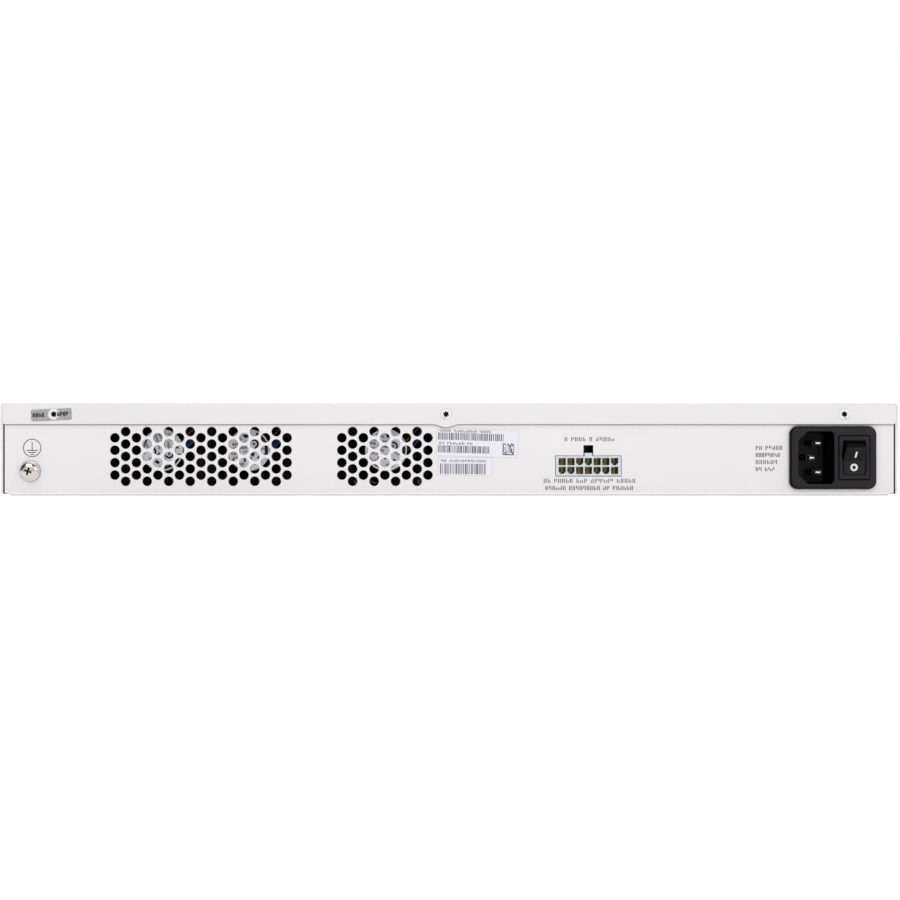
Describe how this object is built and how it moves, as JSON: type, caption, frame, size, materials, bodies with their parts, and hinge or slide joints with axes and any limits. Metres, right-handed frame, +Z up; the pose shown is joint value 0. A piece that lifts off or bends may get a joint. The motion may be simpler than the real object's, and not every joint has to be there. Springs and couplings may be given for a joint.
{
  "type": "rackmount network switch",
  "caption": "One-unit rack switch: sheet-steel tray and cover, vented fan exhausts, mains inlet with rocker, DC input header, port blocks and cage at the front.",
  "frame": {"origin": "centre of the tray's underside", "axes": "+X along the width, to the left seen from the rear; +Y out of the power side; +Z up"},
  "size_m": [0.4312, 0.3085, 0.0444],
  "materials": {
    "white_paint": "fine-textured powder coat",
    "zinc_steel": "zinc plated",
    "black_paint": "fine matt powder coat",
    "nickel": "bright nickel plate",
    "gold_plate": "plated contact metal",
    "tin_plate": "tin-plated spring metal",
    "black_plastic": "fine matt",
    "black_gloss": "semi-gloss",
    "natural_nylon": "waxy",
    "green_board": "solder mask",
    "tan_board": "bare laminate",
    "copper_coil": "enamelled winding",
    "clear_plastic": "moulded clear",
    "grey_label": "vinyl label",
    "white_label": "coated label",
    "fan_label": "foil label",
    "bare_aluminium": "extruded",
    "grey_plastic": "fine matt",
    "wire_insulation": "PVC",
    "chip_package": "moulded epoxy",
    "capacitor_sleeve": "shrink sleeve",
    "yellow_tape": "polyester tape"
  },
  "bodies": {
    "chassis": {"base_tray": "white_paint", "top_cover": "white_paint", "front_panel": "white_paint", "front_panel_screws": "nickel", "rear_cover_screws": "nickel", "side_cover_screws": "nickel", "ground_screw": "nickel", "ground_washer": "nickel", "seal_label": "grey_label", "asset_label": "white_label", "serial_label": "white_label", "inlet_housing": "black_plastic", "inlet_pins": "tin_plate", "switch_body": "black_plastic", "switch_terminals": "gold_plate", "ac_wires": "wire_insulation", "dc_header": "natural_nylon", "dc_header_pins": "gold_plate", "dc_input_board": "green_board", "dc_wires": "wire_insulation", "fan_1_frame": "black_plastic", "fan_2_frame": "black_plastic", "fan_3_frame": "black_plastic", "fan_stators": "copper_coil", "fan_bearings": "tin_plate", "fan_labels": "fan_label", "fan_bracket": "black_paint", "fan_screws": "zinc_steel", "fan_wires": "wire_insulation", "main_board": "green_board", "board_standoffs": "zinc_steel", "board_screws": "nickel", "port_blocks": "black_plastic", "port_shields": "tin_plate", "port_contacts": "gold_plate", "port_light_pipes": "clear_plastic", "sfp_cage": "tin_plate", "sfp_connectors": "black_plastic", "console_jack": "black_plastic", "usb_shell": "tin_plate", "usb_tongue": "black_plastic", "status_light_pipes": "clear_plastic", "mode_switch": "black_plastic", "switch_heatsink": "bare_aluminium", "processor_heatsink": "bare_aluminium", "board_chips": "chip_package", "board_capacitors": "capacitor_sleeve", "board_connectors": "natural_nylon", "psu_board": "tan_board", "psu_transformer": "yellow_tape", "psu_capacitors": "capacitor_sleeve", "psu_heatsinks": "bare_aluminium"},
    "fan_1": {"fan_1_rotor": "black_plastic", "fan_1_shaft": "zinc_steel"},
    "fan_2": {"fan_2_rotor": "black_plastic", "fan_2_shaft": "zinc_steel"},
    "fan_3": {"fan_3_rotor": "black_plastic", "fan_3_shaft": "zinc_steel"},
    "rocker": {"power_rocker": "black_gloss"},
    "button": {"mode_button": "grey_plastic"}
  },
  "joints": [
    {"name": "fan_1_spin", "type": "hinge", "parent": "chassis", "child": "fan_1", "pos_m": [0.1405, 0.127, 0.022], "axis": [0, 1, 0], "continuous": true},
    {"name": "fan_2_spin", "type": "hinge", "parent": "chassis", "child": "fan_2", "pos_m": [0.0981, 0.127, 0.022], "axis": [0, 1, 0], "continuous": true},
    {"name": "fan_3_spin", "type": "hinge", "parent": "chassis", "child": "fan_3", "pos_m": [0.0309, 0.127, 0.022], "axis": [0, 1, 0], "continuous": true},
    {"name": "rocker_tilt", "type": "hinge", "parent": "chassis", "child": "rocker", "pos_m": [-0.1939, 0.1466, 0.0183], "axis": [1, 0, 0], "range_deg": [0, 27.6]},
    {"name": "mode_press", "type": "slide", "parent": "chassis", "child": "button", "axis": [0, 1, 0], "range_m": [0, 0.001], "stiffness_N_per_m": 300, "springref_m": -0.001}
  ]
}
